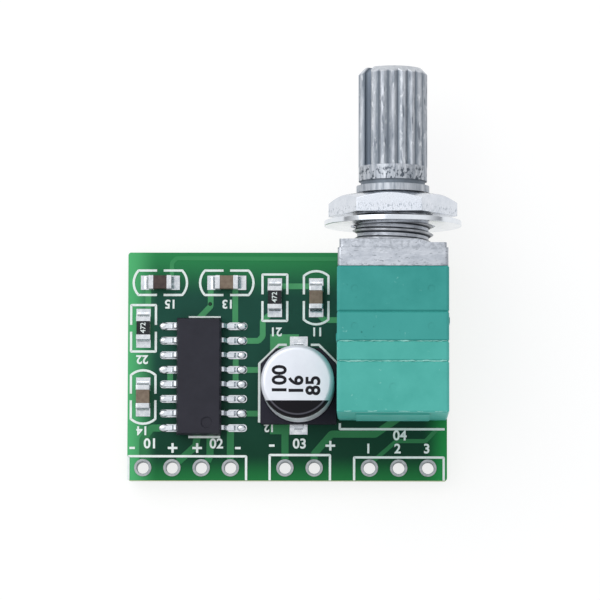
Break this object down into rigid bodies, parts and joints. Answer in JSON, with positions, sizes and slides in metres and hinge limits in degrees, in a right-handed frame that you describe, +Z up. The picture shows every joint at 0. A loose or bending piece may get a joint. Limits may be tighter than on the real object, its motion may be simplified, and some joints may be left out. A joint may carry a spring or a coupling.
{
  "type": "audio amplifier board",
  "caption": "Small stereo amplifier circuit board with surface-mounted parts, a row of wire holes and a panel-mounted rotary volume control with a knurled shaft, nut and washer.",
  "frame": {"origin": "where the control's axis meets the panel seat on the front plate", "axes": "+Y along the control shaft towards its tip, +Z up from the component side of the board"},
  "size_m": [0.029, 0.0351, 0.0147],
  "materials": {
    "solder_mask": "satin",
    "tin": "satin",
    "solder": "satin",
    "epoxy": "matte",
    "lead_frame": "satin",
    "ceramic_brown": "satin",
    "ceramic_dark": "satin",
    "alumina": "matte",
    "glaze": "gloss",
    "can": "satin",
    "base_plastic": "matte",
    "zinc": "satin",
    "shaft": "satin",
    "plated_steel": "polished",
    "spring_steel": "satin",
    "gang_plastic": "satin",
    "switch_plastic": "satin",
    "phenolic": "matte",
    "acetal": "satin",
    "bronze": "satin",
    "tinned_brass": "satin"
  },
  "bodies": {
    "board": {"circuit_board": "solder_mask", "wire_rings": "tin", "solder_pads": "solder", "pin_solder": "solder", "amplifier_chip": "epoxy", "chip_leads": "lead_frame", "c1_ceramic": "ceramic_brown", "c1_ends": "tin", "c3_ceramic": "ceramic_brown", "c3_ends": "tin", "c4_ceramic": "ceramic_brown", "c4_ends": "tin", "c5_ceramic": "ceramic_dark", "c5_ends": "tin", "r1_substrate": "alumina", "r1_film": "glaze", "r1_ends": "tin", "r2_substrate": "alumina", "r2_film": "glaze", "r2_ends": "tin", "electrolytic_can": "can", "electrolytic_base": "base_plastic", "electrolytic_tabs": "lead_frame", "bushing_plate": "zinc", "front_gang_housing": "gang_plastic", "front_element": "phenolic", "front_pins": "tinned_brass", "rear_gang_housing": "gang_plastic", "rear_element": "phenolic", "rear_pins": "tinned_brass", "switch_housing": "switch_plastic", "switch_cover": "switch_plastic", "switch_leaf": "bronze", "switch_contact": "bronze", "assembly_dowels": "spring_steel"},
    "shaft": {"control_shaft": "shaft", "retaining_clip": "spring_steel", "front_rotor": "acetal", "front_wiper": "bronze", "rear_rotor": "acetal", "rear_wiper": "bronze", "switch_cam": "acetal"},
    "washer": {"flat_washer": "plated_steel"},
    "nut": {"hex_nut": "plated_steel"}
  },
  "joints": [
    {"name": "control_turn", "type": "hinge", "parent": "board", "child": "shaft", "pos_m": [0, 0, 0], "axis": [0, -1, 0], "range_deg": [0, 300]},
    {"name": "washer_slide", "type": "slide", "parent": "board", "child": "washer", "axis": [0, 1, 0], "range_m": [-0.00115, 0.0018]},
    {"name": "nut_turn", "type": "hinge", "parent": "washer", "child": "nut", "pos_m": [0, 0, 0], "axis": [0, 1, 0], "range_deg": [-553, 865]}
  ],
  "couplings": [
    {"joint": "nut_turn", "follows": "washer_slide", "rad_per_m": 8377.6}
  ]
}
